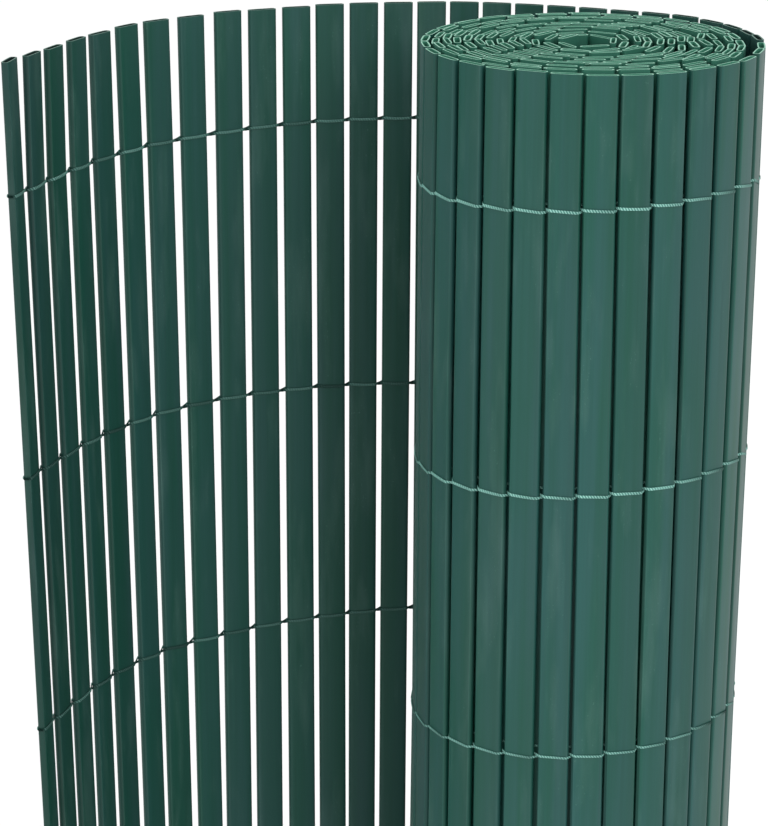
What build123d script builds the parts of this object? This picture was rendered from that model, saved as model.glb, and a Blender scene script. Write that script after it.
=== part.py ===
from build123d import *
import math
import os

# Roll-up privacy screen: hollow plastic slats laced side by side on pairs of
# cords, stored as a roll that stands on its slat ends with the outer end of
# the mat swung open to one side.
# Frame: +Z up along the slats, origin under the middle of the whole part.
# Plan positions below are first laid out about the axis of the roll.

# ---------------------------------------------------------------- dimensions
SLAT_L = 900.0        # slat length, the height of the screen
SLAT_W = 16.4         # slat width over its rounded edges
SLAT_T = 4.4          # slat thickness at the middle of its faces
CROWN = 0.2           # how much each face falls from its middle to its shoulder
EDGE = 1.3            # distance from shoulder to edge
WALL = 0.75           # wall of the hollow section
PITCH = 18.4          # lacing pitch on the roll

CORD_T = 0.25         # cord strand, flattened against the slats
CORD_H = 1.30         # height of the flattened strand
CORD_GAP = 0.03       # strand to slat face
CORD_STEP = 0.70      # strand a sits this far above the row line, strand b below
ROW_TOP = 69.0        # first row of lacing below the slat tops
ROW_SPACING = (152.5, 147.5, 150.0, 150.0, 150.0)

LAYER_HALF = SLAT_T / 2 + CORD_GAP + CORD_T + 0.02   # half a layer, lacing included

# The open end, slat by slat from its free edge: x, y of the slat's middle at
# its top, angle of its face to +X, and how far it shifts in x per mm downward.
TAIL = (
    (-298.8, -54.5, 78.5, 0.0179), (-290.4, -37.5, 71.2, 0.0153),
    (-281.5, -19.5, 67.9, 0.0144), (-271.3, 0.0, 65.4, 0.0121),
    (-260.4, 20.0, 57.6, 0.0118), (-247.2, 39.5, 53.3, 0.0107),
    (-232.6, 57.0, 39.6, 0.0089), (-215.0, 72.0, 34.5, 0.0073),
    (-195.4, 84.5, 27.4, 0.0015), (-176.8, 94.5, 22.4, 0.0006),
    (-157.9, 102.5, 17.6, 0.0016), (-139.3, 109.0, 12.0, 0.0018),
    (-120.1, 114.5, 8.5, -0.0010), (-100.6, 118.5, 4.8, -0.0022),
)

# From there the mat runs behind the roll: lacing gaps on a smooth line.
BACK = ((-91.0, 120.0), (-72.0, 121.5), (-54.0, 120.0), (-37.0, 116.5),
        (-20.0, 112.0), (-3.0, 106.5), (13.0, 100.0), (29.0, 93.0),
        (45.5, 84.5), (60.5, 74.0), (73.0, 60.5), (82.0, 43.5),
        (87.5, 25.0))
BACK_SLATS = 13

# Lacing gaps of the outer wrap, as angles from the front, positive to +X, and
# the radius of the slats' middle plane there.
WRAP = (91.5, 79.0, 66.4, 53.8, 42.0, 30.1, 18.2, 6.4, -5.1, -17.1, -29.1,
        -41.0, -53.7, -66.4)
WRAP_R = ((100.0, 90.2), (91.5, 89.9), (60.0, 89.2), (30.0, 88.6), (0.0, 88.2),
          (-30.0, 88.2), (-66.4, 88.3), (-90.0, 88.3), (-120.0, 88.0),
          (-150.0, 87.2), (-180.0, 86.0), (-210.0, 84.2), (-240.0, 81.3),
          (-270.0, 78.8), (-290.0, 79.8), (-310.0, 82.2), (-330.0, 82.5),
          (-360.0, 82.4))
LAYER = 5.05          # distance from one turn of gaps to the next,
SAG = 36.0            # plus this over the radius
CORE_R = 9.0          # the mat starts about this far from the axis

# Height of each row along the mat, as offsets in mm at some gap numbers.
# Gap 0 is the first one from the free edge; missing stretches are linear.
ROW_DRIFT = (
    ((0, -0.8), (2, 0.9), (6, 1.3), (10, 3.0), (13, 2.6), (26, -1.8)),
    ((0, -1.3), (2, 0.0), (5, -1.5), (10, -2.4), (13, -4.0), (20, 0.0), (26, 0.1)),
    ((0, 1.4), (2, 3.6), (4, 2.7), (6, 0.5), (7, -0.4), (10, 0.0), (13, 0.9), (26, 0.9)),
    ((0, 0.5), (3, 1.0), (8, 0.5), (13, 1.0), (26, -2.0)),
    ((0, -0.5), (4, 1.0), (9, -1.0), (13, 0.5), (26, -2.5)),
    ((0, -1.0), (4, 0.5), (9, 1.0), (13, 0.0), (26, -3.0)),
)
# where the outer wrap turns away to the right the rows sag by this much
ROW_DIP = ((26, 6.0), (27, 5.4), (28, 1.7), (29, 0.4), (30, 0.0))
ROW_SWING = (4.3, 6.2, 7.0, 4.0, 3.5, 3.0)     # rise to +X round the outer wrap


# -------------------------------------------------------------------- layout
def hashed(i, k):
    v = math.sin(i * 12.9898 + k * 78.233) * 43758.5453
    return v - math.floor(v)


def interp(table, t):
    pts = sorted(table)
    if t <= pts[0][0]:
        return pts[0][1]
    for (a, va), (b, vb) in zip(pts, pts[1:]):
        if t <= b:
            s = (t - a) / (b - a)
            s = s * s * (3 - 2 * s) * 0.5 + s * 0.5
            return va + (vb - va) * s
    return pts[-1][1]


def polar(phi, r):
    a = math.radians(phi)
    return (r * math.sin(a), -r * math.cos(a))


def resample(points, n):
    """n + 1 points evenly spaced along a polyline of three-point smoothed runs."""
    fine = []
    for i in range(len(points) - 1):
        p0 = points[max(i - 1, 0)]
        p1, p2 = points[i], points[i + 1]
        p3 = points[min(i + 2, len(points) - 1)]
        for j in range(20):
            t = j / 20.0
            fine.append(tuple(
                0.5 * (2 * p1[k] + (p2[k] - p0[k]) * t
                       + (2 * p0[k] - 5 * p1[k] + 4 * p2[k] - p3[k]) * t * t
                       + (3 * p1[k] - p0[k] - 3 * p2[k] + p3[k]) * t ** 3)
                for k in (0, 1)))
    fine.append(points[-1])
    s = [0.0]
    for a, b in zip(fine, fine[1:]):
        s.append(s[-1] + math.dist(a, b))
    out = []
    for i in range(n + 1):
        want = s[-1] * i / n
        j = min(max(k for k in range(len(s)) if s[k] <= want), len(s) - 2)
        t = (want - s[j]) / (s[j + 1] - s[j])
        out.append((fine[j][0] + (fine[j + 1][0] - fine[j][0]) * t,
                    fine[j][1] + (fine[j + 1][1] - fine[j][1]) * t))
    return out


def body(r):
    """Outline of a slat with its lacing: x, y, ux, uy; the turn runs
    clockwise, so the strands reach further along the left face."""
    h = LAYER_HALF
    reach = 8.0 if math.hypot(r[0], r[1]) > 50.0 else 8.4
    out = []
    for a, b in ((-reach, h), (reach, h), (8.8, 1.4), (8.6, -1.2),
                 (7.3, -h), (-7.3, -h), (-8.6, -1.2), (-8.8, 1.4)):
        out.append((r[0] + a * r[2] - b * r[3], r[1] + a * r[3] + b * r[2]))
    return out


def apart(P, Q):
    """True when a line parallel to a side of P has all of Q beyond it."""
    n = len(P)
    for i in range(n):
        (x0, y0), (x1, y1) = P[i - 1], P[i]
        nx, ny = y1 - y0, x0 - x1
        if (P[(i + 1) % n][0] - x0) * nx + (P[(i + 1) % n][1] - y0) * ny > 0:
            nx, ny = -nx, -ny
        if all((x - x0) * nx + (y - y0) * ny >= 0 for x, y in Q):
            return True
    return False


def hits(r, others):
    P = body(r)
    for o in others:
        if math.hypot(o[0] - r[0], o[1] - r[1]) < 18.2:
            Q = body(o)
            if not (apart(P, Q) or apart(Q, P)):
                return True
    return False


def spiral(phi):
    """Radius of the slats' middle plane at an unwound angle."""
    if phi > -360.0:
        return interp(WRAP_R, phi)
    r = spiral(phi + 360.0)
    side = 0.5 + 0.5 * math.cos(math.radians(phi - 90.0))
    return r - (LAYER + SAG / max(r, 6.0) + 0.12 - 0.3 * side)


def layout():
    """Slats (x, y, ux, uy, shift per mm, turn) and gaps, free edge to core."""
    slats = []
    for x, y, deg, lean in TAIL:
        a = math.radians(deg)
        slats.append([x, y, math.cos(a), math.sin(a), lean, 0])

    gaps = resample(BACK + (polar(WRAP[0], interp(WRAP_R, WRAP[0])),), BACK_SLATS)
    gaps += [polar(p, interp(WRAP_R, p)) for p in WRAP[1:]]

    # the rest of the outer wrap follows a given radius
    phi = WRAP[-1]
    n = 0
    while phi > -352.0:
        want = PITCH + 0.5 * (hashed(n, 1) - 0.5)
        step = math.degrees(want / interp(WRAP_R, phi))
        for _ in range(6):
            q = polar(phi - step, interp(WRAP_R, phi - step))
            step *= want / math.dist(gaps[-1], q)
        phi -= step
        gaps.append(polar(phi, interp(WRAP_R, phi)))
        n += 1

    rects = []
    for i in range(len(gaps) - 1):
        (x0, y0), (x1, y1) = gaps[i], gaps[i + 1]
        L = math.dist(gaps[i], gaps[i + 1])
        rects.append(((x0 + x1) / 2, (y0 + y1) / 2, (x1 - x0) / L, (y1 - y0) / L))

    # inner turns: gaps follow a tightening spiral, and move inward where a
    # slat would touch the turn outside it; a slat that leaves no room for the
    # next one is taken back and set further in
    def choices(phi, r0):
        x0, y0 = gaps[-1]
        near = [o for o in rects[-90:-1] if math.hypot(o[0] - x0, o[1] - y0) < 38.0]
        span = math.degrees(math.asin(min(1.0, PITCH / 2 / r0))) * 2
        aim = spiral(phi - span) + 0.6 * (hashed(len(rects), 4) - 0.5)
        for k in range(14):
            r1 = aim - 0.12 * k - 0.02 * k * k
            if r1 < 1.0:
                return
            # a slightly longer pitch where the mat turns sharply
            L = PITCH - 0.1 + 0.3 * hashed(len(rects), 2) + max(0.0, span - 45.0) * 0.035
            c = (r0 * r0 + r1 * r1 - L * L) / (2 * r0 * r1)
            if abs(c) > 1:
                continue
            d = math.degrees(math.acos(c))
            x1, y1 = polar(phi - d, r1)
            o = ((x0 + x1) / 2, (y0 + y1) / 2, (x1 - x0) / L, (y1 - y0) / L)
            bend = rects[-1][2] * o[2] + rects[-1][3] * o[3]
            if bend > 0.12 and math.hypot(o[0], o[1]) > CORE_R and not hits(o, near):
                yield phi - d, r1, o, (x1, y1)

    outer, best, tries = len(rects), [], 0
    stack = [choices(phi, math.hypot(*gaps[-1]))]
    while stack and tries < 6000:
        tries += 1
        step = next(stack[-1], None)
        if step is None:
            stack.pop()
            if len(rects) > outer:
                rects.pop()
                gaps.pop()
            continue
        rects.append(step[2])
        gaps.append(step[3])
        if len(rects) > len(best):
            best, best_gaps = list(rects), list(gaps)
        stack.append(choices(step[0], step[1]))
    rects, gaps = best, best_gaps

    # turn numbers, from the outermost inwards
    wound, last = 0.0, math.atan2(rects[BACK_SLATS][1], rects[BACK_SLATS][0])
    for i, r in enumerate(rects):
        if i > BACK_SLATS:
            a = math.atan2(r[1], r[0])
            d = a - last
            d -= 2 * math.pi * round(d / (2 * math.pi))
            wound += abs(d) if d < 0 else -d
            last = a
        number = 0 if i < BACK_SLATS else 1 + int(wound / (2 * math.pi))
        slats.append([r[0], r[1], r[2], r[3], 0.0, number])
    # gap k lies between slat k and slat k + 1; the tail's own gaps come first
    tail_gaps = []
    for a, b in zip(slats[:13], slats[1:14]):
        tail_gaps.append(((a[0] + b[0]) / 2, (a[1] + b[1]) / 2))
    return slats, tail_gaps + gaps


SLATS, GAPS = layout()
LAST_TURN = max(s[5] for s in SLATS)

# middle of the whole part in plan, so that the origin is under it
xs, ys = [], []
for s in SLATS:
    for z in (0.0, SLAT_L):
        cx = s[0] + s[4] * (SLAT_L - z)
        ex = (SLAT_W / 2 - 2.2) * abs(s[2]) + 2.2
        ey = (SLAT_W / 2 - 2.2) * abs(s[3]) + 2.2
        xs += [cx - ex, cx + ex]
        ys += [s[1] - ey, s[1] + ey]
LACING_SIDE = (0.216, 0.036)   # the strands stand out a little on two sides
MID = ((min(xs) + max(xs)) / 2 + LACING_SIDE[0],
       (min(ys) + max(ys)) / 2 + LACING_SIDE[1])


# --------------------------------------------------------------------- slats
def section(inset):
    """Closed outline of the slat, its faces crowned and its edges rounded."""
    w, t, c = SLAT_W / 2 - inset, SLAT_T / 2 - inset, CROWN
    sx, sy = w - EDGE, t - c
    return Wire([
        ThreePointArc((-sx, sy), (0, t), (sx, sy)),
        ThreePointArc((sx, sy), (w, 0), (sx, -sy)),
        ThreePointArc((sx, -sy), (0, -t), (-sx, -sy)),
        ThreePointArc((-sx, -sy), (-w, 0), (-sx, sy)),
    ])


SECTION = Face(section(0.0), [section(WALL)])


def lift(i):
    """How far slat i stands up from the level of the foot."""
    high = 1.5 if SLATS[i][5] < 2 else 2.5
    return round(max(0.0, high * hashed(i, 3) - 0.7), 2)


def slat(i):
    x, y, ux, uy, lean, _ = SLATS[i]
    foot = Location((x + lean * SLAT_L - MID[0], y - MID[1], lift(i)),
                    (0, 0, math.degrees(math.atan2(uy, ux))))
    if lean == 0.0:
        return extrude(SECTION.moved(foot), SLAT_L, dir=(0, 0, 1))
    return extrude(SECTION.moved(foot), SLAT_L * math.hypot(1.0, lean), dir=(-lean, 0, 1))


# --------------------------------------------------------------------- cords
def row_level(row, k):
    """Height of a row at gap k."""
    z = SLAT_L - ROW_TOP - sum(ROW_SPACING[:row])
    if k <= 26:
        return z + interp(ROW_DRIFT[row], k)
    x, y = GAPS[k]
    turn = SLATS[k][5]
    if turn <= 1:
        wave = ROW_SWING[row] * max(-1.0, min(1.0, x / math.hypot(x, y)))
        return z + wave - interp(ROW_DIP, k)
    return z + ROW_SWING[row] * fade(k)


TURN2 = next(i for i, s in enumerate(SLATS) if s[5] == 2)


def fade(k):
    # the second turn settles to one level
    x, y = GAPS[TURN2]
    start = max(-1.0, min(1.0, x / math.hypot(x, y)))
    t = min(1.0, (k - TURN2) / 10.0)
    return start * (1 - t * t * (3 - 2 * t))


LEVEL_FROM = TURN2 + 11      # from this gap on the rows are level


def cord_line(row, side):
    """Plan points and heights of one strand, free edge to core.

    side +1 starts on the outer face of slat 0, side -1 on its inner face; the
    strands change faces at every gap.
    """
    off = SLAT_T / 2 + CORD_GAP + CORD_T / 2
    bump = CORD_STEP if side > 0 else -CORD_STEP
    pts = []
    n = len(SLATS)

    # each strand passes over one rounded edge and under the next
    w, t = EDGE, SLAT_T / 2 - CROWN
    bend = (w * w + t * t) / (2 * w)
    clear = bend + CORD_GAP + CORD_T / 2
    centre = SLAT_W / 2 - bend

    def frame(i, z):
        x, y, ux, uy, lean, _ = SLATS[i]
        return x + lean * (SLAT_L - z + lift(i)), y, ux, uy

    def face(i):
        return side if i % 2 == 0 else -side

    def on_face(i, z, f, hx, hy, dx, dy):
        """Where the line through h along d meets the strand's run on slat i."""
        x, y, ux, uy = frame(i, z)
        ox, oy = x - uy * f * off, y + ux * f * off
        s = ((hx - ox) * dy - (hy - oy) * dx) / (ux * dy - uy * dx)
        return (ox + ux * s, oy + uy * s, z)

    z = row_level(row, 0) + bump
    x, y, ux, uy = frame(0, z)
    f = face(0)
    e = SLAT_W / 2 + 0.35
    for px, py in ((-e, -f * 0.2 * off), (-e, f * off)):
        pts.append((x + ux * px - uy * py, y + uy * px + ux * py, z))
    for i in range(n - 1):
        z = row_level(row, i) + bump
        xa, ya, uxa, uya = frame(i, z)
        xb, yb, uxb, uyb = frame(i + 1, z)
        ax, ay = xa + uxa * centre, ya + uya * centre
        bx, by = xb - uxb * centre, yb - uyb * centre
        D = math.hypot(bx - ax, by - ay)
        tilt = math.asin(min(1.0, 2 * clear / D)) * -face(i)
        cx, cy = (bx - ax) / D, (by - ay) / D
        dx = cx * math.cos(tilt) - cy * math.sin(tilt)
        dy = cx * math.sin(tilt) + cy * math.cos(tilt)
        hx, hy = (ax + bx) / 2, (ay + by) / 2
        pts.append(on_face(i, z, face(i), hx, hy, dx, dy))
        pts.append(on_face(i + 1, z, face(i + 1), hx, hy, dx, dy))
    x, y, ux, uy = frame(n - 1, z)
    f = face(n - 1)
    for px, py in ((e, f * off), (e, -f * 0.2 * off)):
        pts.append((x + ux * px - uy * py, y + uy * px + ux * py, z))
    return [(p[0] - MID[0], p[1] - MID[1], p[2]) for p in pts]


def cord(row, side):
    """One flattened strand: flat runs joined at mitres, as a single solid."""
    P = cord_line(row, side)
    n = len(P)
    w, h = CORD_T, CORD_H
    dirs, lens = [], []
    for a, b in zip(P, P[1:]):
        L = math.hypot(b[0] - a[0], b[1] - a[1])
        dirs.append(((b[0] - a[0]) / L, (b[1] - a[1]) / L))
        lens.append(L)
    half = []           # tan of half the turn at each point, left positive
    for j in range(n):
        if j in (0, n - 1):
            half.append(0.0)
        else:
            (ax, ay), (bx, by) = dirs[j - 1], dirs[j]
            half.append(math.tan(0.5 * math.atan2(ax * by - ay * bx, ax * bx + ay * by)))
    left, right = [], []
    d = 0.0             # height of the left side over the right side
    for j in range(n):
        ux, uy = dirs[min(j, n - 2)]
        s = half[j] * w / 2
        x, y, z = P[j]
        left.append((x - uy * w / 2 + ux * s, y + ux * w / 2 + uy * s, z + d / 2))
        right.append((x + uy * w / 2 - ux * s, y - ux * w / 2 - uy * s, z - d / 2))
        if j < n - 1:
            slope = (P[j + 1][2] - z) / lens[j]
            d -= slope * w * (half[j] + half[j + 1])
            if abs(d) < 1e-9:
                d = 0.0
    # first point from which everything is at one height
    flat = n - 1
    while flat > 0 and abs(P[flat - 1][2] - P[n - 1][2]) < 1e-9:
        flat -= 1
    for j in range(flat, n):
        left[j] = (left[j][0], left[j][1], P[j][2])
        right[j] = (right[j][0], right[j][1], P[j][2])

    def V(p, dz):
        return (p[0], p[1], p[2] + dz)

    faces = []

    def poly(points):
        faces.append(Face(Wire.make_polygon([Vector(*q) for q in points], close=True)))

    up, dn = h / 2, -h / 2
    poly([V(left[0], dn), V(right[0], dn), V(right[0], up), V(left[0], up)])
    poly([V(left[-1], dn), V(left[-1], up), V(right[-1], up), V(right[-1], dn)])
    for j in range(n - 1):
        poly([V(left[j], dn), V(left[j], up), V(left[j + 1], up), V(left[j + 1], dn)])
        poly([V(right[j], dn), V(right[j + 1], dn), V(right[j + 1], up), V(right[j], up)])
        if j < flat - 1:
            poly([V(left[j], up), V(right[j], up), V(right[j + 1], up), V(left[j + 1], up)])
            poly([V(left[j], dn), V(left[j + 1], dn), V(right[j + 1], dn), V(right[j], dn)])
        elif j == flat - 1:
            for dz in (up, dn):
                poly([V(left[j], dz), V(right[j], dz), V(right[j + 1], dz)])
                poly([V(left[j], dz), V(right[j + 1], dz), V(left[j + 1], dz)])
    for dz in (up, dn):
        poly([V(p, dz) for p in left[flat:]] + [V(p, dz) for p in reversed(right[flat:])])
    body = Solid(Shell(faces))
    return body


# -------------------------------------------------------------------- export
os.makedirs("parts", exist_ok=True)

solids = [slat(i) for i in range(len(SLATS))]
tail_count = sum(1 for s in SLATS if s[5] == 0)
for i in range(tail_count):
    export_step(solids[i], "parts/open_slat_%02d.step" % (i + 1), write_pcurves=False)
for t in range(1, LAST_TURN + 1):
    group = [solids[i] for i, s in enumerate(SLATS) if s[5] == t]
    export_step(Compound(children=group), "parts/roll_slats_turn_%02d.step" % t, write_pcurves=False)
for row in range(6):
    for side, name in ((1, "a"), (-1, "b")):
        export_step(cord(row, side), "parts/cord_row%d_%s.step" % (row + 1, name), write_pcurves=False)

print("slats", len(SLATS), "open", tail_count, "turns", LAST_TURN, "mid", MID)
length = sum(math.dist(a[:2], b[:2]) for a, b in zip(SLATS, SLATS[1:])) + SLAT_W
print("unrolled length mm", round(length), "core radius", round(math.hypot(*GAPS[-1]), 1))
for row in (0, 2, 5):
    line = cord_line(row, 1)
    print("strand a, row", row + 1, "length mm", round(sum(math.dist(a, b) for a, b in zip(line, line[1:]))))
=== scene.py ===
import math

import bpy
import numpy as np
from mathutils import Matrix, Vector


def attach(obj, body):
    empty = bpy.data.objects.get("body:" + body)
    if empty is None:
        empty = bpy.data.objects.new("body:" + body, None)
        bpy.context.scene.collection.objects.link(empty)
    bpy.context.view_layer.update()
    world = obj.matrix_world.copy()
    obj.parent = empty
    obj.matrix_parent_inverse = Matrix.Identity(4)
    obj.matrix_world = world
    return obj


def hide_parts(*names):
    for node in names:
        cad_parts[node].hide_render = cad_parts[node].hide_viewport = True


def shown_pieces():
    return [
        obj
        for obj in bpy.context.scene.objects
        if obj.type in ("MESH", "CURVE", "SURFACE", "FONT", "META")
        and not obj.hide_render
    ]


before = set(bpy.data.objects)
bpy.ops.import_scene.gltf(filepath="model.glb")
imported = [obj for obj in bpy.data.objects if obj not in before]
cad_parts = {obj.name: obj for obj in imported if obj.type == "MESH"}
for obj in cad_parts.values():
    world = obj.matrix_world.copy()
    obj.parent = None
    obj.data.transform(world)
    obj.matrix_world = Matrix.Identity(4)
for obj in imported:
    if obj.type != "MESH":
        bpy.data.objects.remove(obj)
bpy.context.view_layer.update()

# Camera: 2832 pixels of focal length on a picture 826 pixels high.
CAM_F = 2832.0
CAM_AT = (-0.0028, -1.4913, 1.1760)
CAM_DOWN = 18.08
CAM_ROLL = 0.234

# The mat is laid out as in the part: slats on a spiral about the axis of the
# roll, in mm, shifted by MID into the frame of the part.

# ---------------------------------------------------------------- dimensions
SLAT_L = 900.0        # slat length, the height of the screen
SLAT_W = 16.4         # slat width over its rounded edges
SLAT_T = 4.4          # slat thickness at the middle of its faces
CROWN = 0.2           # how much each face falls from its middle to its shoulder
EDGE = 1.3            # distance from shoulder to edge
WALL = 0.75           # wall of the hollow section
PITCH = 18.4          # lacing pitch on the roll

CORD_T = 0.25         # cord strand, flattened against the slats
CORD_H = 1.30         # height of the flattened strand
CORD_GAP = 0.03       # strand to slat face
CORD_STEP = 0.70      # strand a sits this far above the row line, strand b below
ROW_TOP = 69.0        # first row of lacing below the slat tops
ROW_SPACING = (152.5, 147.5, 150.0, 150.0, 150.0)

LAYER_HALF = SLAT_T / 2 + CORD_GAP + CORD_T + 0.02   # half a layer, lacing included

# The open end, slat by slat from its free edge: x, y of the slat's middle at
# its top, angle of its face to +X, and how far it shifts in x per mm downward.
TAIL = (
    (-298.8, -54.5, 78.5, 0.0179), (-290.4, -37.5, 71.2, 0.0153),
    (-281.5, -19.5, 67.9, 0.0144), (-271.3, 0.0, 65.4, 0.0121),
    (-260.4, 20.0, 57.6, 0.0118), (-247.2, 39.5, 53.3, 0.0107),
    (-232.6, 57.0, 39.6, 0.0089), (-215.0, 72.0, 34.5, 0.0073),
    (-195.4, 84.5, 27.4, 0.0015), (-176.8, 94.5, 22.4, 0.0006),
    (-157.9, 102.5, 17.6, 0.0016), (-139.3, 109.0, 12.0, 0.0018),
    (-120.1, 114.5, 8.5, -0.0010), (-100.6, 118.5, 4.8, -0.0022),
)

# From there the mat runs behind the roll: lacing gaps on a smooth line.
BACK = ((-91.0, 120.0), (-72.0, 121.5), (-54.0, 120.0), (-37.0, 116.5),
        (-20.0, 112.0), (-3.0, 106.5), (13.0, 100.0), (29.0, 93.0),
        (45.5, 84.5), (60.5, 74.0), (73.0, 60.5), (82.0, 43.5),
        (87.5, 25.0))
BACK_SLATS = 13

# Lacing gaps of the outer wrap, as angles from the front, positive to +X, and
# the radius of the slats' middle plane there.
WRAP = (91.5, 79.0, 66.4, 53.8, 42.0, 30.1, 18.2, 6.4, -5.1, -17.1, -29.1,
        -41.0, -53.7, -66.4)
WRAP_R = ((100.0, 90.2), (91.5, 89.9), (60.0, 89.2), (30.0, 88.6), (0.0, 88.2),
          (-30.0, 88.2), (-66.4, 88.3), (-90.0, 88.3), (-120.0, 88.0),
          (-150.0, 87.2), (-180.0, 86.0), (-210.0, 84.2), (-240.0, 81.3),
          (-270.0, 78.8), (-290.0, 79.8), (-310.0, 82.2), (-330.0, 82.5),
          (-360.0, 82.4))
LAYER = 5.05          # distance from one turn of gaps to the next,
SAG = 36.0            # plus this over the radius
CORE_R = 9.0          # the mat starts about this far from the axis

# Height of each row along the mat, as offsets in mm at some gap numbers.
# Gap 0 is the first one from the free edge; missing stretches are linear.
ROW_DRIFT = (
    ((0, -0.8), (2, 0.9), (6, 1.3), (10, 3.0), (13, 2.6), (26, -1.8)),
    ((0, -1.3), (2, 0.0), (5, -1.5), (10, -2.4), (13, -4.0), (20, 0.0), (26, 0.1)),
    ((0, 1.4), (2, 3.6), (4, 2.7), (6, 0.5), (7, -0.4), (10, 0.0), (13, 0.9), (26, 0.9)),
    ((0, 0.5), (3, 1.0), (8, 0.5), (13, 1.0), (26, -2.0)),
    ((0, -0.5), (4, 1.0), (9, -1.0), (13, 0.5), (26, -2.5)),
    ((0, -1.0), (4, 0.5), (9, 1.0), (13, 0.0), (26, -3.0)),
)
# where the outer wrap turns away to the right the rows sag by this much
ROW_DIP = ((26, 6.0), (27, 5.4), (28, 1.7), (29, 0.4), (30, 0.0))
ROW_SWING = (4.3, 6.2, 7.0, 4.0, 3.5, 3.0)     # rise to +X round the outer wrap


# -------------------------------------------------------------------- layout
def hashed(i, k):
    v = math.sin(i * 12.9898 + k * 78.233) * 43758.5453
    return v - math.floor(v)


def interp(table, t):
    pts = sorted(table)
    if t <= pts[0][0]:
        return pts[0][1]
    for (a, va), (b, vb) in zip(pts, pts[1:]):
        if t <= b:
            s = (t - a) / (b - a)
            s = s * s * (3 - 2 * s) * 0.5 + s * 0.5
            return va + (vb - va) * s
    return pts[-1][1]


def polar(phi, r):
    a = math.radians(phi)
    return (r * math.sin(a), -r * math.cos(a))


def resample(points, n):
    """n + 1 points evenly spaced along a polyline of three-point smoothed runs."""
    fine = []
    for i in range(len(points) - 1):
        p0 = points[max(i - 1, 0)]
        p1, p2 = points[i], points[i + 1]
        p3 = points[min(i + 2, len(points) - 1)]
        for j in range(20):
            t = j / 20.0
            fine.append(tuple(
                0.5 * (2 * p1[k] + (p2[k] - p0[k]) * t
                       + (2 * p0[k] - 5 * p1[k] + 4 * p2[k] - p3[k]) * t * t
                       + (3 * p1[k] - p0[k] - 3 * p2[k] + p3[k]) * t ** 3)
                for k in (0, 1)))
    fine.append(points[-1])
    s = [0.0]
    for a, b in zip(fine, fine[1:]):
        s.append(s[-1] + math.dist(a, b))
    out = []
    for i in range(n + 1):
        want = s[-1] * i / n
        j = min(max(k for k in range(len(s)) if s[k] <= want), len(s) - 2)
        t = (want - s[j]) / (s[j + 1] - s[j])
        out.append((fine[j][0] + (fine[j + 1][0] - fine[j][0]) * t,
                    fine[j][1] + (fine[j + 1][1] - fine[j][1]) * t))
    return out


def body(r):
    """Outline of a slat with its lacing: x, y, ux, uy; the turn runs
    clockwise, so the strands reach further along the left face."""
    h = LAYER_HALF
    reach = 8.0 if math.hypot(r[0], r[1]) > 50.0 else 8.4
    out = []
    for a, b in ((-reach, h), (reach, h), (8.8, 1.4), (8.6, -1.2),
                 (7.3, -h), (-7.3, -h), (-8.6, -1.2), (-8.8, 1.4)):
        out.append((r[0] + a * r[2] - b * r[3], r[1] + a * r[3] + b * r[2]))
    return out


def apart(P, Q):
    """True when a line parallel to a side of P has all of Q beyond it."""
    n = len(P)
    for i in range(n):
        (x0, y0), (x1, y1) = P[i - 1], P[i]
        nx, ny = y1 - y0, x0 - x1
        if (P[(i + 1) % n][0] - x0) * nx + (P[(i + 1) % n][1] - y0) * ny > 0:
            nx, ny = -nx, -ny
        if all((x - x0) * nx + (y - y0) * ny >= 0 for x, y in Q):
            return True
    return False


def hits(r, others):
    P = body(r)
    for o in others:
        if math.hypot(o[0] - r[0], o[1] - r[1]) < 18.2:
            Q = body(o)
            if not (apart(P, Q) or apart(Q, P)):
                return True
    return False


def spiral(phi):
    """Radius of the slats' middle plane at an unwound angle."""
    if phi > -360.0:
        return interp(WRAP_R, phi)
    r = spiral(phi + 360.0)
    side = 0.5 + 0.5 * math.cos(math.radians(phi - 90.0))
    return r - (LAYER + SAG / max(r, 6.0) + 0.12 - 0.3 * side)


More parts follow.
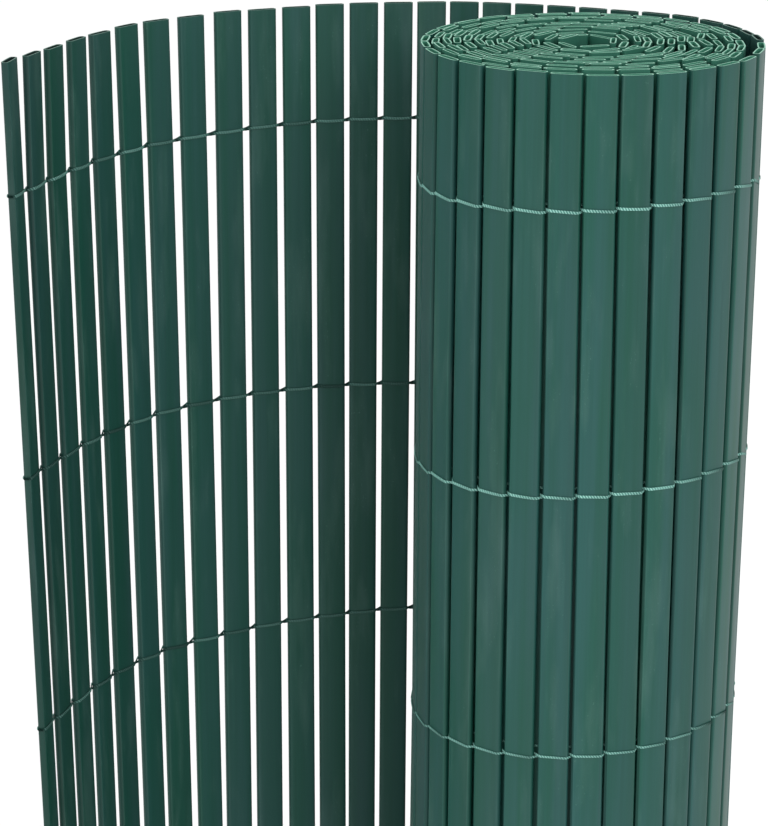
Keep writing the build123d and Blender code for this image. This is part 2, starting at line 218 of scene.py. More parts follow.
def layout():
    """Slats (x, y, ux, uy, shift per mm, turn) and gaps, free edge to core."""
    slats = []
    for x, y, deg, lean in TAIL:
        a = math.radians(deg)
        slats.append([x, y, math.cos(a), math.sin(a), lean, 0])

    gaps = resample(BACK + (polar(WRAP[0], interp(WRAP_R, WRAP[0])),), BACK_SLATS)
    gaps += [polar(p, interp(WRAP_R, p)) for p in WRAP[1:]]

    # the rest of the outer wrap follows a given radius
    phi = WRAP[-1]
    n = 0
    while phi > -352.0:
        want = PITCH + 0.5 * (hashed(n, 1) - 0.5)
        step = math.degrees(want / interp(WRAP_R, phi))
        for _ in range(6):
            q = polar(phi - step, interp(WRAP_R, phi - step))
            step *= want / math.dist(gaps[-1], q)
        phi -= step
        gaps.append(polar(phi, interp(WRAP_R, phi)))
        n += 1

    rects = []
    for i in range(len(gaps) - 1):
        (x0, y0), (x1, y1) = gaps[i], gaps[i + 1]
        L = math.dist(gaps[i], gaps[i + 1])
        rects.append(((x0 + x1) / 2, (y0 + y1) / 2, (x1 - x0) / L, (y1 - y0) / L))

    # inner turns: gaps follow a tightening spiral, and move inward where a
    # slat would touch the turn outside it; a slat that leaves no room for the
    # next one is taken back and set further in
    def choices(phi, r0):
        x0, y0 = gaps[-1]
        near = [o for o in rects[-90:-1] if math.hypot(o[0] - x0, o[1] - y0) < 38.0]
        span = math.degrees(math.asin(min(1.0, PITCH / 2 / r0))) * 2
        aim = spiral(phi - span) + 0.6 * (hashed(len(rects), 4) - 0.5)
        for k in range(14):
            r1 = aim - 0.12 * k - 0.02 * k * k
            if r1 < 1.0:
                return
            # a slightly longer pitch where the mat turns sharply
            L = PITCH - 0.1 + 0.3 * hashed(len(rects), 2) + max(0.0, span - 45.0) * 0.035
            c = (r0 * r0 + r1 * r1 - L * L) / (2 * r0 * r1)
            if abs(c) > 1:
                continue
            d = math.degrees(math.acos(c))
            x1, y1 = polar(phi - d, r1)
            o = ((x0 + x1) / 2, (y0 + y1) / 2, (x1 - x0) / L, (y1 - y0) / L)
            bend = rects[-1][2] * o[2] + rects[-1][3] * o[3]
            if bend > 0.12 and math.hypot(o[0], o[1]) > CORE_R and not hits(o, near):
                yield phi - d, r1, o, (x1, y1)

    outer, best, tries = len(rects), [], 0
    stack = [choices(phi, math.hypot(*gaps[-1]))]
    while stack and tries < 6000:
        tries += 1
        step = next(stack[-1], None)
        if step is None:
            stack.pop()
            if len(rects) > outer:
                rects.pop()
                gaps.pop()
            continue
        rects.append(step[2])
        gaps.append(step[3])
        if len(rects) > len(best):
            best, best_gaps = list(rects), list(gaps)
        stack.append(choices(step[0], step[1]))
    rects, gaps = best, best_gaps

    # turn numbers, from the outermost inwards
    wound, last = 0.0, math.atan2(rects[BACK_SLATS][1], rects[BACK_SLATS][0])
    for i, r in enumerate(rects):
        if i > BACK_SLATS:
            a = math.atan2(r[1], r[0])
            d = a - last
            d -= 2 * math.pi * round(d / (2 * math.pi))
            wound += abs(d) if d < 0 else -d
            last = a
        number = 0 if i < BACK_SLATS else 1 + int(wound / (2 * math.pi))
        slats.append([r[0], r[1], r[2], r[3], 0.0, number])
    # gap k lies between slat k and slat k + 1; the tail's own gaps come first
    tail_gaps = []
    for a, b in zip(slats[:13], slats[1:14]):
        tail_gaps.append(((a[0] + b[0]) / 2, (a[1] + b[1]) / 2))
    return slats, tail_gaps + gaps


SLATS, GAPS = layout()
LAST_TURN = max(s[5] for s in SLATS)

# middle of the whole part in plan, so that the origin is under it
xs, ys = [], []
for s in SLATS:
    for z in (0.0, SLAT_L):
        cx = s[0] + s[4] * (SLAT_L - z)
        ex = (SLAT_W / 2 - 2.2) * abs(s[2]) + 2.2
        ey = (SLAT_W / 2 - 2.2) * abs(s[3]) + 2.2
        xs += [cx - ex, cx + ex]
        ys += [s[1] - ey, s[1] + ey]
LACING_SIDE = (0.216, 0.036)   # the strands stand out a little on two sides
MID = ((min(xs) + max(xs)) / 2 + LACING_SIDE[0],
       (min(ys) + max(ys)) / 2 + LACING_SIDE[1])


def lift(i):
    """How far slat i stands up from the level of the foot."""
    high = 1.5 if SLATS[i][5] < 2 else 2.5
    return round(max(0.0, high * hashed(i, 3) - 0.7), 2)


# --------------------------------------------------------------------- cords
def row_level(row, k):
    """Height of a row at gap k."""
    z = SLAT_L - ROW_TOP - sum(ROW_SPACING[:row])
    if k <= 26:
        return z + interp(ROW_DRIFT[row], k)
    x, y = GAPS[k]
    turn = SLATS[k][5]
    if turn <= 1:
        wave = ROW_SWING[row] * max(-1.0, min(1.0, x / math.hypot(x, y)))
        return z + wave - interp(ROW_DIP, k)
    return z + ROW_SWING[row] * fade(k)


TURN2 = next(i for i, s in enumerate(SLATS) if s[5] == 2)


def fade(k):
    # the second turn settles to one level
    x, y = GAPS[TURN2]
    start = max(-1.0, min(1.0, x / math.hypot(x, y)))
    t = min(1.0, (k - TURN2) / 10.0)
    return start * (1 - t * t * (3 - 2 * t))


LEVEL_FROM = TURN2 + 11      # from this gap on the rows are level


# ------------------------------------------------------------- finer placing
# The mat is not perfectly straight: slats of the outer turn drift round the
# roll and stand a little further out lower down. Angles in degrees against
# depth below the tops.
DRIFT_AT = (-95.0, -66.4, -53.7, -41.0, -29.1, -17.1, -5.1, 6.4, 18.2, 30.1, 42.0, 53.8, 66.4, 79.0, 92.0)
DRIFT = (
    (45.0, (0.0, -0.1, 0.2, 0.2, -0.1, -0.3, -0.7, -0.8, -0.9, -0.8, -0.4, 0.2, 0.9, 0.5, 0.0)),
    (180.0, (0.0, -0.8, -0.3, 0.0, 0.0, 0.1, 0.0, -0.2, 0.0, 0.2, 0.3, -0.2, 0.6, 0.4, 0.0)),
    (417.0, (0.0, 1.0, 0.1, -0.1, 0.1, 0.3, 0.8, 0.9, 0.9, 0.6, 0.2, -0.1, 0.1, 0.0, 0.0)),
)
OUT_LEFT = ((0.0, -0.6), (60.0, -0.2), (119.0, 0.0), (245.0, 0.5), (350.0, 1.1), (456.0, 1.9))
OUT_RIGHT = ((0.0, -0.2), (139.0, -0.2), (213.0, -0.4), (325.0, -1.1), (429.0, -1.5))


TOP_BEND = (0.2, 1.2, 1.3, 0.9, 0.3, -0.3, -0.3)     # mm to +X at the tops


def lin(table, t):
    if t <= table[0][0]:
        return table[0][1]
    for (a, va), (b, vb) in zip(table, table[1:]):
        if t <= b:
            return va + (vb - va) * (t - a) / (b - a)
    return table[-1][1]


def drift(phi, depth):
    if phi < DRIFT_AT[0] or phi > DRIFT_AT[-1]:
        return 0.0
    rows = [(d, lin(tuple(zip(DRIFT_AT, v)), phi)) for d, v in DRIFT]
    return lin(rows, depth)


def place(i, z):
    """Middle and direction of slat i at height z, in mm, in the part's frame."""
    x, y, ux, uy, lean, turn = SLATS[i]
    depth = SLAT_L - z
    x = x + lean * (depth + lift(i))
    if turn == 0 and i < 21:
        top = max(0.0, 1.0 - depth / 69.0)
        bend = TOP_BEND[i] * top if i < len(TOP_BEND) else 0.0
        return x - MID[0] + bend, y - MID[1], ux, uy
    r = math.hypot(x, y)
    phi = math.degrees(math.atan2(x, -y))
    out = 0.0
    if turn <= 1:
        # only the outer turn drifts round; both move in and out
        a = math.radians(drift(phi, depth))
        ca, sa = math.cos(a), math.sin(a)
        x, y = x * ca - y * sa, x * sa + y * ca
        ux, uy = ux * ca - uy * sa, ux * sa + uy * ca
    side = x / r
    wide = min(1.0, max(0.0, (r - 20.0) / 60.0))
    if side < 0:
        out = lin(OUT_LEFT, depth) * side * side * wide
    elif turn == 1:
        out = lin(OUT_RIGHT, depth) * side * side
    if turn > 1:
        out += 0.24 * (hashed(i, 11) - 0.5)
        a = math.radians(4.6 * (hashed(i, 12) - 0.5))
        ux, uy = ux * math.cos(a) - uy * math.sin(a), ux * math.sin(a) + uy * math.cos(a)
    x, y = x * (1 + out / r), y * (1 + out / r)
    return x - MID[0], y - MID[1], ux, uy


# ------------------------------------------------------------------- helpers
def arc3(p0, p1, p2, n):
    (ax, ay), (bx, by), (cx, cy) = p0, p1, p2
    d = 2 * (ax * (by - cy) + bx * (cy - ay) + cx * (ay - by))
    ox = ((ax * ax + ay * ay) * (by - cy) + (bx * bx + by * by) * (cy - ay) + (cx * cx + cy * cy) * (ay - by)) / d
    oy = ((ax * ax + ay * ay) * (cx - bx) + (bx * bx + by * by) * (ax - cx) + (cx * cx + cy * cy) * (bx - ax)) / d
    r = math.hypot(ax - ox, ay - oy)
    a0, a1, a2 = (math.atan2(q[1] - oy, q[0] - ox) for q in (p0, p1, p2))
    while a1 - a0 > math.pi:
        a1 -= 2 * math.pi
    while a1 - a0 < -math.pi:
        a1 += 2 * math.pi
    while a2 - a1 > math.pi:
        a2 -= 2 * math.pi
    while a2 - a1 < -math.pi:
        a2 += 2 * math.pi
    return [(ox + r * math.cos(a0 + (a2 - a0) * k / n), oy + r * math.sin(a0 + (a2 - a0) * k / n)) for k in range(n)]


def outline(inset, soft=True, wide=0.0):
    """Section of a slat, with the points gathered at its softened shoulders."""
    w, t, c = SLAT_W / 2 + wide - inset, SLAT_T / 2 - inset, CROWN
    sx = w - (0.9 if soft else EDGE)
    marks = (-1.0, -0.93, -0.82, -0.5, 0.0, 0.5, 0.82, 0.93) if soft else (-1.0, -0.9, -0.35, 0.35, 0.9)
    side = (0.0, 0.1, 0.26, 0.5, 0.74, 0.9) if soft else (0.0, 0.2, 0.5, 0.8)
    full = arc3((-sx, t - c), (0, t), (sx, t - c), 200)
    turn = arc3((sx, t - c), (w, 0), (sx, c - t), 200)
    half = [full[int(round((m + 1) * 100))] for m in marks] + [turn[int(round(m * 200))] for m in side]
    if soft:
        # pull the two shoulder points in a little
        n = len(marks)
        half[0] = (half[0][0] + 0.05, half[0][1] - 0.16)
        half[1] = (half[1][0], half[1][1] - 0.035)
        half[n - 1] = (half[n - 1][0], half[n - 1][1] - 0.035)
        half[n] = (half[n][0] - 0.05, half[n][1] - 0.16)
        half[n + 1] = (half[n + 1][0] - 0.03, half[n + 1][1] - 0.06)
        half[-1] = (half[-1][0] - 0.03, half[-1][1] + 0.06)
    return half + [(-x, -y) for x, y in half], len(marks), len(side)


def face_height(s):
    """Height of the crowned face at s from its middle."""
    k = min(1.0, abs(s) / (SLAT_W / 2 - EDGE))
    return SLAT_T / 2 - CROWN * k * k


class Build:
    """Collects rings of points into one mesh."""

    def __init__(self):
        self.v, self.f, self.m, self.uv, self.tone, self.gap = [], [], [], [], [], []

    def add(self, verts, tone, gap=0.0):
        k = len(self.v)
        self.v.extend(verts)
        self.tone.extend([tone] * len(verts))
        self.gap.extend([gap] * len(verts))
        return k

    def quads(self, a, b, n, mat, u0, u1, flip=False, marks=None):
        for j in range(n):
            k = (j + 1) % n
            q = (a + j, a + k, b + k, b + j)
            s, e = (marks[j], marks[j + 1]) if marks else (j / n, (j + 1) / n)
            w = [(s, u0), (e, u0), (e, u1), (s, u1)]
            if flip:
                q, w = q[::-1], w[::-1]
            self.f.append(q)
            self.m.append(mat)
            self.uv.extend(w)

    def object(self, name, mats):
        me = bpy.data.meshes.new(name)
        me.from_pydata([(x * 0.001, y * 0.001, z * 0.001) for x, y, z in self.v], [], self.f)
        for m in mats:
            me.materials.append(m)
        me.polygons.foreach_set("material_index", self.m)
        layer = me.uv_layers.new(name="run")
        layer.data.foreach_set("uv", [c for p in self.uv for c in p])
        for name, values in (("tone", self.tone), ("gap", self.gap)):
            att = me.attributes.new(name, "FLOAT", "POINT")
            att.data.foreach_set("value", values)
        me.validate()
        me.update()
        ob = bpy.data.objects.new(name, me)
        bpy.context.scene.collection.objects.link(ob)
        return ob


# --------------------------------------------------------------------- slats
def slat_mesh(b, i):
    turn = SLATS[i][5]
    near = turn <= 1
    wide = 0.14 if turn == 1 else 0.0
    outer, fine, edge = outline(0.0, near, wide)
    inner = outline(WALL * (0.9 + 0.25 * hashed(i, 7)), near, wide)[0]
    n = len(outer)
    # face, edge, face, edge: a quarter each
    marks = [(q + k / c) / 4 for q, c in enumerate((fine, edge, fine, edge)) for k in range(c)] + [1.0]
    # a few slats are pressed a little flatter in the roll
    squash = 1.0 - (0.03, 0.04, 0.24)[min(turn, 2)] * hashed(i, 8)
    tone = hashed(i, 9)
    if turn == 0:
        # painted shade: the free end and the slats beside the roll are drawn darker, as they stand in more shade
        tone -= 1.7 * max(0.0, 1.0 - i / 6.5) + (0.8 if 12 <= i <= 14 else 0.0)
    # strength of the painted shade on the rounded edges, down in the gaps
    gap_shade = 0.26 if turn > 0 else 0.25
    base = lift(i)
    heights = [0.0, 440.0, 480.0, 540.0, 600.0, 655.0, 720.0, 780.0, 840.0, 870.0, SLAT_L] if turn == 1 else [0.0, 450.0, 831.0, SLAT_L]
    if turn > 1:
        heights = [0.0, 440.0, 655.0, SLAT_L]
    rings = []
    for z in heights:
        x, y, ux, uy = place(i, z)
        rings.append(b.add([(x + p * ux - q * squash * uy, y + p * uy + q * squash * ux, z + base) for p, q in outer], tone, gap_shade))
    for a, c, za, zc in zip(rings, rings[1:], heights, heights[1:]):
        b.quads(a, c, n, 0, za, zc, flip=True, marks=marks)
    # the cut end, then the bore
    ends = []
    for z, s in ((SLAT_L, 1), (0.0, -1)):
        x, y, ux, uy = place(i, z)
        lo = b.add([(x + p * ux - q * squash * uy, y + p * uy + q * squash * ux, z + base) for p, q in outer], tone)
        inn = b.add([(x + p * ux - q * squash * uy, y + p * uy + q * squash * ux, z + base) for p, q in inner], tone)
        b.quads(lo, inn, n, 1, z, z, flip=(s > 0), marks=marks)
        ends.append(inn)
    deep = []
    for z in (SLAT_L, SLAT_L - 60.0, 60.0, 0.0):
        x, y, ux, uy = place(i, z)
        deep.append(b.add([(x + p * ux - q * squash * uy, y + p * uy + q * squash * ux, z + base) for p, q in inner], tone))
    for a, c, za, zc in zip(deep, deep[1:], (900, 840, 60), (840, 60, 0)):
        b.quads(a, c, n, 2, za, zc, flip=True, marks=marks)


# --------------------------------------------------------------------- cords
def strand_points(row, side):
    """Middle line of a strand with its half thickness and half height."""
    n = len(SLATS)
    out = []
    z0 = SLAT_L - ROW_TOP - sum(ROW_SPACING[:row])

    def level(k):
        return row_level(row, min(max(k, 0), n - 2))

    def offset(k):
        """Height of the strand above its row where it crosses gap k."""
        f = side if k % 2 == 0 else -side
        return 0.72 * f if k >= 20 else -0.40 * f

    for i in range(n):
        f = side if i % 2 == 0 else -side
        turn = SLATS[i][5]
        near = turn <= 1
        outward = f > 0
        za, zb = level(i - 1) + offset(i - 1), level(i) + offset(i)
        thick = 0.36 if (near and (outward or turn == 0)) else 0.15
        if i in (26, 27, 28):
            thick = 0.20
        tall = 0.84 if turn == 0 else 0.65
        if turn == 1:
            tall = 0.80 if row < 2 else 0.68
        wob = 0.22 * (hashed(i, 20 + row) - 0.5)
        steps = (-7.1, -6.2, -4.6, -2.3, 0.0, 2.3, 4.6, 6.2, 7.1) if near else (-7.0, 0.0, 7.0)
        for s in steps:
            t = (s + 7.1) / 14.2
            z = za + (zb - za) * t + wob * (1 - (2 * t - 1) ** 2)
            if turn == 0 and not outward:
                z += 0.9 * (1 - t) ** 2
            x, y, ux, uy = place(i, z)
            h = face_height(s) + 0.03 + thick
            if abs(s) > 7.0:
                h -= 0.10
            # painted shade: on the open end's inner side the strands are drawn close to the dim colour
            if turn == 0 and not outward:
                dark = 0.92 - 0.26 * hashed(i, 40 + row) - (0.10 if row == 0 else 0.0)
            else:
                dark = (0.10 + 0.30 * (1 - t)) * (0.6 + 0.8 * hashed(i, 50 + row))
                if turn == 1:
                    # painted shade: darker towards +X and from the third row down
                    dark += 0.34 * min(1.0, max(0.0, (SLATS[i][0] - 42.0) / 20.0)) + (0.16 if row >= 2 else 0.0)
            out.append((x + ux * s - uy * f * h, y + uy * s + ux * f * h, z, thick, tall, dark))
        if i < n - 1:
            x2, y2, ux2, uy2 = place(i + 1, zb)
            x1, y1, ux1, uy1 = place(i, zb)
            e = SLAT_W / 2 - 2.19
            mx = (x1 + ux1 * e + x2 - ux2 * e) / 2
            my = (y1 + uy1 * e + y2 - uy2 * e) / 2
            # painted shade: where it crosses a gap of the open end the strand is drawn dark
            out.append((mx, my, zb, min(thick, 0.32), 0.66, 1.0 if turn == 0 else 0.3))
    # both ends tuck round the edge of the last slat
    for which, k in ((0, 0), (n - 1, -1)):
        f = side if which % 2 == 0 else -side
        p = out[k]
        x, y, ux, uy = place(which, p[2])
        sgn = -1 if k == 0 else 1
        extra = []
        for s, h in ((8.75, 1.3), (8.85, -0.4)):
            # painted shade: the end at the free edge is drawn dark
            extra.append((x + ux * s * sgn - uy * f * h, y + uy * s * sgn + ux * f * h, p[2], 0.22, 0.6, 1.0 if k == 0 else 0.3))
        out = (extra[::-1] + out) if k == 0 else (out + extra)
    return out


def cord_mesh(b, row, side):
    pts = strand_points(row, side)
    P = np.array([p[:3] for p in pts])
    T = np.gradient(P, axis=0)
    T /= np.linalg.norm(T, axis=1)[:, None]
    up = np.array([0.0, 0.0, 1.0])
    run = 0.0
    last = None
    k = 10
    for j, (x, y, z, th, tl, dark) in enumerate(pts):
        t = T[j]
        nrm = np.cross(t, up)
        nrm /= np.linalg.norm(nrm)
        v = np.cross(nrm, t)
        if j:
            run += float(np.linalg.norm(P[j] - P[j - 1]))
        ring = []
        for a in range(k):
            w = 2 * math.pi * a / k
            c, s = math.cos(w), math.sin(w)
            # a soft lozenge, flat against the slat
            c = math.copysign(abs(c) ** 0.8, c)
            s = math.copysign(abs(s) ** 0.8, s)
            ring.append((x + nrm[0] * th * c + v[0] * tl * s, y + nrm[1] * th * c + v[1] * tl * s, z + nrm[2] * th * c + v[2] * tl * s))
        r = b.add(ring, dark)
        if last is not None:
            b.quads(last, r, k, 0, prev_run, run)
        else:
            b.f.append(tuple(range(r + k - 1, r - 1, -1)))
            b.m.append(0)
            b.uv.extend([(0.0, 0.0)] * k)
        last, prev_run = r, run
    b.f.append(tuple(range(last, last + k)))
    b.m.append(0)
    b.uv.extend([(0.0, run)] * k)


# ----------------------------------------------------------------- materials
def srgb(r, g, b):
    def lin1(c):
        c /= 255.0
        return c / 12.92 if c <= 0.04045 else ((c + 0.055) / 1.055) ** 2.4
    return (lin1(r), lin1(g), lin1(b), 1.0)


class Nodes:
    def __init__(self, name):
        self.mat = bpy.data.materials.new(name)
        self.mat.use_nodes = True
        self.t = self.mat.node_tree
        self.t.nodes.clear()
        self.out = self.t.nodes.new("ShaderNodeOutputMaterial")
        self.bsdf = self.t.nodes.new("ShaderNodeBsdfPrincipled")
        self.t.links.new(self.bsdf.outputs[0], self.out.inputs["Surface"])

    def n(self, kind, **props):
        node = self.t.nodes.new(kind)
        for k, v in props.items():
            setattr(node, k, v)
        return node

    def link(self, a, b):
        self.t.links.new(a, b)

    def math(self, op, a, b=None, c=None, clamp=False):
        node = self.n("ShaderNodeMath", operation=op, use_clamp=clamp)
        for k, v in enumerate((a, b, c)):
            if v is None:
                continue
            if isinstance(v, (int, float)):
                node.inputs[k].default_value = v
            else:
                self.link(v, node.inputs[k])
        return node.outputs[0]

    def position(self, scale):
        g = self.n("ShaderNodeTexCoord")
        m = self.n("ShaderNodeMapping")
        m.inputs["Scale"].default_value = scale
        self.link(g.outputs["Object"], m.inputs["Vector"])
        return m.outputs["Vector"]

    def noise(self, vec, scale, detail=3.0, rough=0.55):
        t = self.n("ShaderNodeTexNoise")
        t.inputs["Scale"].default_value = scale
        t.inputs["Detail"].default_value = detail
        t.inputs["Roughness"].default_value = rough
        self.link(vec, t.inputs["Vector"])
        return t.outputs["Fac"]

    def ramp(self, fac, stops):
        r = self.n("ShaderNodeValToRGB")
        e = r.color_ramp.elements
        while len(e) > 1:
            e.remove(e[-1])
        e[0].position, e[0].color = stops[0]
        for p, c in stops[1:]:
            k = e.new(p)
            k.color = c
        self.link(fac, r.inputs["Fac"])
        return r.outputs["Color"]

    def mix(self, fac, a, b, blend="MIX"):
        m = self.n("ShaderNodeMix", data_type="RGBA", blend_type=blend)
        ins = [s for s in m.inputs if s.enabled]
        for sock, v in ((ins[0], fac), (ins[1], a), (ins[2], b)):
            if isinstance(v, (int, float)):
                sock.default_value = v
            elif isinstance(v, tuple):
                sock.default_value = v
            else:
                self.link(v, sock)
        return [s for s in m.outputs if s.enabled][0]

    def bump(self, height, strength, dist):
        b = self.n("ShaderNodeBump")
        b.inputs["Strength"].default_value = strength
        b.inputs["Distance"].default_value = dist
        self.link(height, b.inputs["Height"])
        self.link(b.outputs["Normal"], self.bsdf.inputs["Normal"])


def pvc(name, green, cool, rough, spec, end_light_colour=None):
    m = Nodes(name)
    # extrusion streaks: thin across, long down the slat
    streak = m.noise(m.position((1.0, 1.0, 0.012)), 900.0, 4.0, 0.6)
    broad = m.noise(m.position((1.0, 1.0, 0.02)), 150.0, 2.0, 0.5)
    cloud = m.noise(m.position((1.0, 1.0, 0.3)), 22.0, 3.0, 0.5)
    blotch = m.noise(m.position((1.0, 1.0, 0.16)), 75.0, 3.0, 0.6)
    s = m.math("ADD", m.math("MULTIPLY", streak, 0.45), m.math("MULTIPLY", broad, 0.55))
    hue = m.ramp(m.math("ADD", m.math("MULTIPLY", broad, 0.5), m.math("MULTIPLY", cloud, 0.5)),
                 [(0.40, srgb(*green)), (0.60, srgb(*cool))])
    # the per-slat tone attribute darkens whole slats; on the open end it carries painted shade as well as a random
    # tone
    tone = m.n("ShaderNodeAttribute", attribute_name="tone")
    shade = m.math("ADD", m.math("MULTIPLY", tone.outputs["Fac"], 0.20), 0.90)
    shade = m.math("MULTIPLY", shade, m.math("ADD", m.math("MULTIPLY", cloud, 0.30), 0.85))
    shade = m.math("MULTIPLY", shade, m.math("ADD", m.math("MULTIPLY", s, 0.75), 0.625))
    hsv = m.n("ShaderNodeHueSaturation")
    m.link(shade, hsv.inputs["Value"])
    m.link(hue, hsv.inputs["Color"])
    # small pale scuffs, in patches
    speck = m.noise(m.position((1.0, 1.0, 0.55)), 1300.0, 2.0, 0.5)
    zone = m.math("GREATER_THAN", blotch, 0.56)
    mark = m.math("MULTIPLY", m.math("MULTIPLY", m.math("GREATER_THAN", speck, 0.70), 0.30), zone)
    col = m.mix(mark, hsv.outputs["Color"], srgb(92, 132, 122))
    # chalky haze here and there
    haze = m.math("MULTIPLY", m.math("SUBTRACT", blotch, 0.53, clamp=True), 0.62)
    col = m.mix(haze, col, srgb(112, 142, 136))
    uv = m.n("ShaderNodeUVMap", uv_map="run")
    sep = m.n("ShaderNodeSeparateXYZ")
    m.link(uv.outputs["UV"], sep.inputs[0])
    u4 = m.math("MULTIPLY", sep.outputs["X"], 4.0)
    q = m.math("FRACT", u4)
    on_edge = m.math("GREATER_THAN", m.math("FRACT", m.math("MULTIPLY", sep.outputs["X"], 2.0)), 0.5)
    # across a face the green fades a little towards grey
    fade_to = m.math("MULTIPLY", m.math("SUBTRACT", 1.0, q), m.math("SUBTRACT", 1.0, on_edge))
    col = m.mix(m.math("MULTIPLY", m.math("POWER", fade_to, 1.4), 0.34), col, srgb(48, 68, 66))
    # painted shade: the rounded edges are darker, down in the gaps
    inside = m.math("MULTIPLY", m.math("MINIMUM", q, m.math("SUBTRACT", 1.0, q)), 4.5, clamp=True)
    gap = m.n("ShaderNodeAttribute", attribute_name="gap")
    gap_shade = m.math("MULTIPLY", m.math("MULTIPLY", on_edge, inside), gap.outputs["Fac"])
    col = m.mix(gap_shade, col, srgb(8, 30, 26))
    # the corners of the section are rubbed paler
    near = m.math("MINIMUM", q, m.math("SUBTRACT", 1.0, q))
    rub = m.math("SUBTRACT", 1.0, m.math("DIVIDE", near, 0.075), clamp=True)
    worn = m.math("MULTIPLY", rub, m.math("MULTIPLY", m.math("SUBTRACT", blotch, 0.42, clamp=True), 0.6))
    col = m.mix(worn, col, srgb(104, 146, 132))
    if end_light_colour:
        # painted light: paler near the cut ends, as if light came through the wall
        height = m.math("ABSOLUTE", m.math("SUBTRACT", sep.outputs["Y"], 450.0))
        painted_end_light = m.math("MULTIPLY", m.math("SUBTRACT", height, 426.0), 1 / 24.0, clamp=True)
        col = m.mix(painted_end_light, col, srgb(*end_light_colour))
    m.link(col, m.bsdf.inputs["Base Color"])
    r = m.math("ADD", m.math("MULTIPLY", blotch, 0.22), rough - 0.11)
    m.link(r, m.bsdf.inputs["Roughness"])
    m.bsdf.inputs["Specular IOR Level"].default_value = spec
    m.bump(s, 0.16, 0.00012)
    return m.mat


def cut_end(name, low, mid, high):
    m = Nodes(name)
    grain = m.noise(m.position((1.0, 1.0, 1.0)), 1800.0, 3.0)
    col = m.ramp(grain, [(0.3, srgb(*low)), (0.55, srgb(*mid)), (0.8, srgb(*high))])
    m.link(col, m.bsdf.inputs["Base Color"])
    m.bsdf.inputs["Roughness"].default_value = 0.55
    m.bump(grain, 0.3, 0.0001)
    return m.mat


def twine(name):
    m = Nodes(name)
    uv = m.n("ShaderNodeUVMap", uv_map="run")
    sep = m.n("ShaderNodeSeparateXYZ")
    m.link(uv.outputs["UV"], sep.inputs[0])
    # two plies laid round each other
    turn = m.math("ADD", m.math("MULTIPLY", sep.outputs["X"], 2.0), m.math("DIVIDE", sep.outputs["Y"], 1.5))
    wave = m.math("SINE", m.math("MULTIPLY", turn, 6.28318))
    ply = m.math("ADD", m.math("MULTIPLY", wave, 0.5), 0.5)
    fibre = m.noise(m.position((1.0, 1.0, 1.0)), 4200.0, 2.0)
    f = m.math("ADD", m.math("MULTIPLY", ply, 0.7), m.math("MULTIPLY", fibre, 0.3))
    col = m.ramp(f, [(0.12, srgb(62, 122, 112)), (0.5, srgb(110, 172, 160)), (0.85, srgb(164, 216, 204))])
    # painted shade: the tone attribute mixes the twine towards a dim colour and lowers its gloss; it carries a random
    # tone as well
    tone = m.n("ShaderNodeAttribute", attribute_name="tone")
    dim = m.mix(f, srgb(6, 20, 18), srgb(20, 46, 41))
    col = m.mix(tone.outputs["Fac"], col, dim)
    m.link(col, m.bsdf.inputs["Base Color"])
    m.bsdf.inputs["Roughness"].default_value = 0.62
    m.link(m.math("SUBTRACT", 0.4, m.math("MULTIPLY", tone.outputs["Fac"], 0.36)), m.bsdf.inputs["Specular IOR Level"])
    m.bump(f, 0.7, 0.0003)
    return m.mat


def plain_floor():
    m = Nodes("pale_floor")
    g = m.noise(m.position((1.0, 1.0, 1.0)), 3.0, 2.0)
    col = m.ramp(g, [(0.0, (0.94, 0.94, 0.94, 1.0)), (1.0, (0.97, 0.97, 0.97, 1.0))])
    m.link(col, m.bsdf.inputs["Base Color"])
    m.bsdf.inputs["Roughness"].default_value = 0.9
    m.bsdf.inputs["Specular IOR Level"].default_value = 0.0
    return m.mat


SKIN = pvc("slat_skin", (21, 79, 66), (31, 76, 72), 0.45, 0.24)
# painted shade: the open end's skin is a duller, darker copy of the slat skin
SKIN_OPEN = pvc("slat_skin_open", (23, 76, 63), (33, 73, 68), 0.45, 0.24)
# painted light: the inner turns' skin is paler near its cut ends
SKIN_CORE = pvc("slat_skin_core", (21, 79, 66), (31, 75, 71), 0.5, 0.24, end_light_colour=(46, 104, 86))
# the roll's cut ends are drawn paler and the open end's darker: a lit and a shaded copy, painted light and shade
CUT = cut_end("slat_cut_end", (96, 154, 132), (130, 188, 164), (164, 216, 194))
CUT_OPEN = cut_end("slat_cut_end_open", (52, 92, 80), (70, 114, 100), (92, 138, 122))
# painted shade: the open end's bores are a darker copy of the bore
BORE_OPEN = pvc("slat_bore_open", (14, 44, 38), (18, 42, 40), 0.6, 0.2)
# painted light: the bore is paler near the cut ends
BORE = pvc("slat_bore", (17, 66, 55), (24, 62, 58), 0.6, 0.3, end_light_colour=(64, 134, 110))
TWINE = twine("lacing_twine")

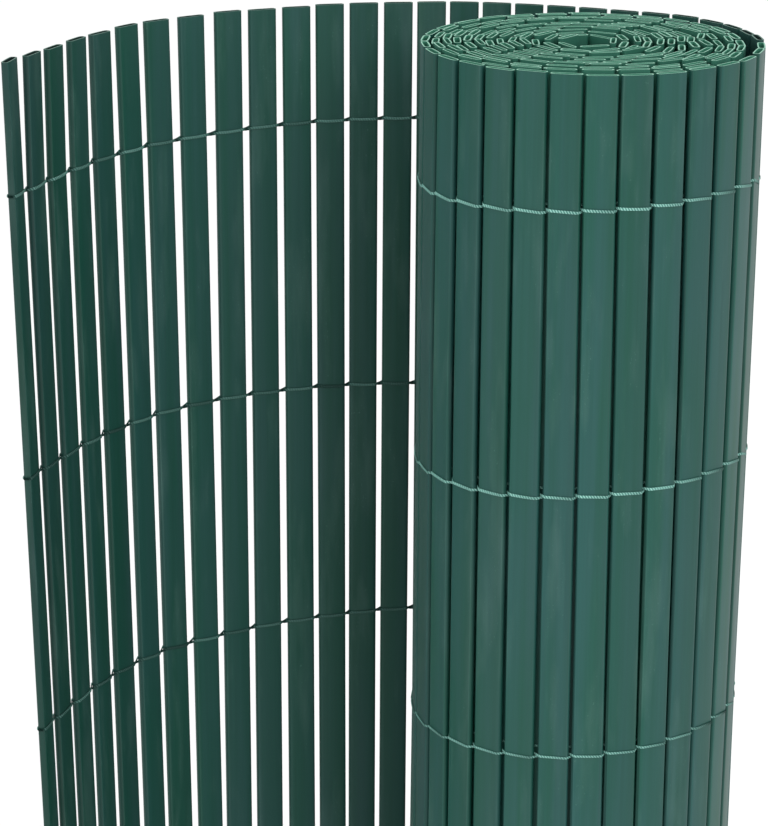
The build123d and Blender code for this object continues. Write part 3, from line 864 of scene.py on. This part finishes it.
# ---------------------------------------------------------------- the pieces
tail_count = sum(1 for s in SLATS if s[5] == 0)
for i in range(tail_count):
    b = Build()
    slat_mesh(b, i)
    ob = b.object("open_slat_%02d_skin" % (i + 1), (SKIN_OPEN, CUT_OPEN, BORE_OPEN))
    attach(ob, "root")
    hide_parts("open_slat_%02d" % (i + 1))
for t in range(1, max(s[5] for s in SLATS) + 1):
    b = Build()
    for i, s in enumerate(SLATS):
        if s[5] == t:
            slat_mesh(b, i)
    ob = b.object("roll_turn_%02d_skin" % t, (SKIN if t == 1 else SKIN_CORE, CUT, BORE))
    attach(ob, "root")
    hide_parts("roll_slats_turn_%02d" % t)
for row in range(6):
    for side, name in ((1, "a"), (-1, "b")):
        b = Build()
        cord_mesh(b, row, side)
        ob = b.object("twine_row%d_%s" % (row + 1, name), (TWINE,))
        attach(ob, "root")
        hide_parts("cord_row%d_%s" % (row + 1, name))
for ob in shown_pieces():
    if ob.type == "MESH":
        for p in ob.data.polygons:
            p.use_smooth = p.material_index != 1
        ob.data.update()

# ------------------------------------------------------- floor, light, camera
me = bpy.data.meshes.new("floor")
me.from_pydata([(-14, -8, 0), (14, -8, 0), (14, 20, 0), (-14, 20, 0)], [], [(0, 1, 2, 3)])
me.materials.append(plain_floor())
floor = bpy.data.objects.new("floor", me)
bpy.context.scene.collection.objects.link(floor)

world = bpy.data.worlds.new("studio")
bpy.context.scene.world = world
world.use_nodes = True
world.node_tree.nodes["Background"].inputs["Color"].default_value = (1.0, 1.0, 1.0, 1.0)
world.node_tree.nodes["Background"].inputs["Strength"].default_value = 1.06


def area(name, where, at, size, power, colour=(1.0, 1.0, 1.0)):
    light = bpy.data.lights.new(name, "AREA")
    light.shape = "RECTANGLE"
    light.size, light.size_y = size
    light.energy = power
    light.color = colour
    ob = bpy.data.objects.new(name, light)
    bpy.context.scene.collection.objects.link(ob)
    ob.location = where
    d = Vector(at) - Vector(where)
    ob.rotation_euler = d.to_track_quat("-Z", "Y").to_euler()
    return ob


area("key", (1.5, -2.5, 2.3), (0.05, 0.0, 0.6), (1.4, 1.4), 26.0)
area("fill", (-2.4, -1.8, 1.5), (0.0, 0.0, 0.6), (1.2, 1.6), 8.0)

cam = bpy.data.cameras.new("camera")
cam.sensor_fit = "AUTO"
cam.sensor_width = 36.0
cam.lens = CAM_F * 36.0 / 826.0
cam.clip_start = 0.05
cam.clip_end = 60.0
camera = bpy.data.objects.new("camera", cam)
bpy.context.scene.collection.objects.link(camera)
camera.matrix_world = (Matrix.Translation(Vector(CAM_AT))
                       @ Matrix.Rotation(math.radians(90.0 - CAM_DOWN), 4, "X")
                       @ Matrix.Rotation(math.radians(CAM_ROLL), 4, "Z"))
bpy.context.scene.camera = camera
bpy.context.scene.view_settings.view_transform = "Standard"
